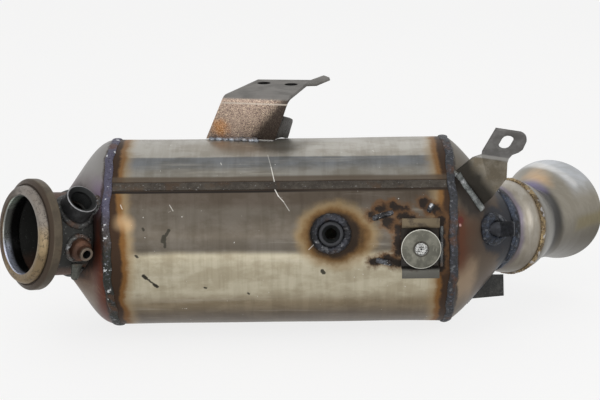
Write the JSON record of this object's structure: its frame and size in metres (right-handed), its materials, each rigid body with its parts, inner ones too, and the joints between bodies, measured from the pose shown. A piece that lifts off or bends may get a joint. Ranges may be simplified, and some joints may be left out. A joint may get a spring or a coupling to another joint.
{
  "type": "diesel particulate filter",
  "caption": "Used welded steel exhaust canister that holds a soot filter and a catalyst, with a V-band flange, sensor bosses, brackets and a flared pipe end.",
  "frame": {"origin": "the top face of the support bracket's plate, midway between its two bolt holes", "axes": "+X along the barrel, from the V-band end to the flared end; +Z out of the support bracket's top face; -Y out of the side with the temperature boss and the disc"},
  "size_m": [0.5436, 0.212, 0.2106],
  "materials": {
    "heat_tinted_steel": "tan heat tint with rust-brown edges",
    "burnt_steel": "matte burnt black",
    "blue_grey_weld": "blue-grey weld scale",
    "bronze_tinted_casting": "brown oxidised",
    "bracket_sheet": "dull grey with brown speckle",
    "bright_steel": "light satin steel",
    "silicon_carbide": "dark matte ceramic",
    "coated_cordierite": "brown matte ceramic",
    "fibre_mat": "pale fibre"
  },
  "bodies": {
    "root": {"canister_shell": "heat_tinted_steel", "v_band_end_cone": "heat_tinted_steel", "flare_end_cone": "heat_tinted_steel", "v_band_neck": "burnt_steel", "oxygen_sensor_boss": "burnt_steel", "pressure_fitting": "burnt_steel", "fitting_tab": "burnt_steel", "temperature_boss": "burnt_steel", "temperature_boss_weld": "burnt_steel", "weld_stub_upper": "burnt_steel", "weld_stub_lower": "burnt_steel", "weld_stub_right": "burnt_steel", "flare_neck_weld": "burnt_steel", "cone_port": "burnt_steel", "lower_bracket": "burnt_steel", "seam_weld": "blue_grey_weld", "v_band_girth_weld": "blue_grey_weld", "flare_girth_weld": "blue_grey_weld", "v_band_neck_weld": "blue_grey_weld", "flange_weld": "blue_grey_weld", "oxygen_sensor_boss_weld": "blue_grey_weld", "pressure_fitting_weld": "blue_grey_weld", "channel_bracket_weld": "blue_grey_weld", "support_bracket_weld": "blue_grey_weld", "pipe_joint_weld": "blue_grey_weld", "cone_port_weld": "blue_grey_weld", "slotted_bracket_weld": "blue_grey_weld", "lower_bracket_weld": "blue_grey_weld", "v_band_flange": "bronze_tinted_casting", "channel_bracket": "bracket_sheet", "spacer_sleeve": "bracket_sheet", "support_bracket": "bracket_sheet", "support_bracket_gusset": "bracket_sheet", "slotted_bracket": "bracket_sheet", "disc_washer": "bright_steel", "disc_rivet": "bright_steel", "bulged_collar": "bright_steel", "flare_pipe": "bright_steel", "filter_brick": "silicon_carbide", "catalyst_brick": "coated_cordierite", "filter_mat": "fibre_mat", "catalyst_mat": "fibre_mat"}
  },
  "joints": []
}
